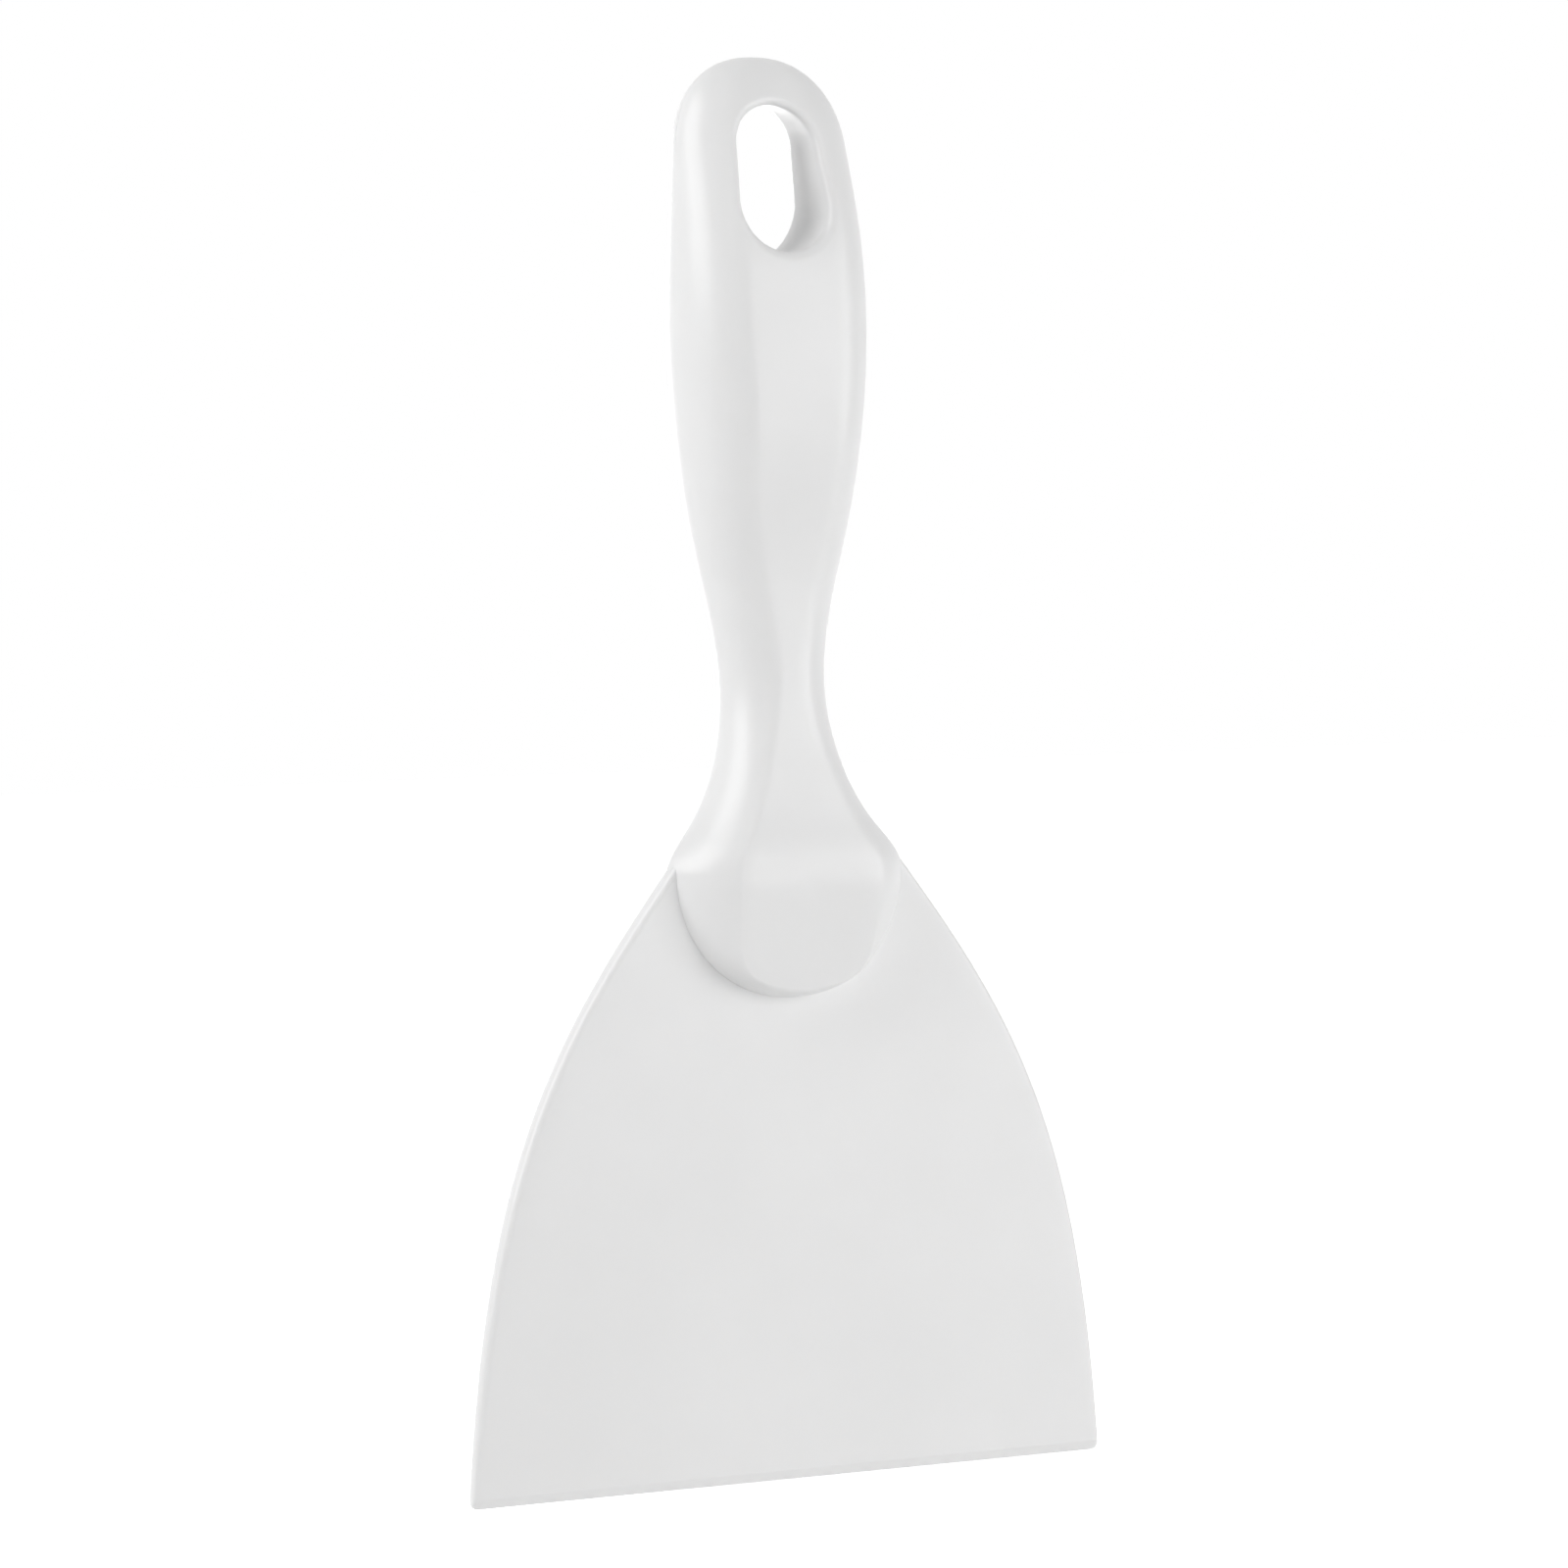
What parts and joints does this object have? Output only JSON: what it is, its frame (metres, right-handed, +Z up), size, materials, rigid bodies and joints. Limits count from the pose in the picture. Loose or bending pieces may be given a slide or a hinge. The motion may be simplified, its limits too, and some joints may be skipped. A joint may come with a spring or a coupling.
{
  "type": "hand scraper",
  "caption": "Flat spade-shaped hand scraper in white moulded plastic, with a stiff blade, a waisted grip moulded over its tang and a hang hole in the rounded end.",
  "frame": {"origin": "top of the hang hole, midway through the handle, where the plastic bears on a hook", "axes": "+Z up along the handle as it hangs, the scraping edge along X at the bottom, and -Y out of the blade's front face"},
  "size_m": [0.1018, 0.0225, 0.2056],
  "materials": {
    "blade_plastic": "satin",
    "handle_plastic": "satin"
  },
  "bodies": {
    "root": {"blade": "blade_plastic", "handle": "handle_plastic"}
  },
  "joints": []
}
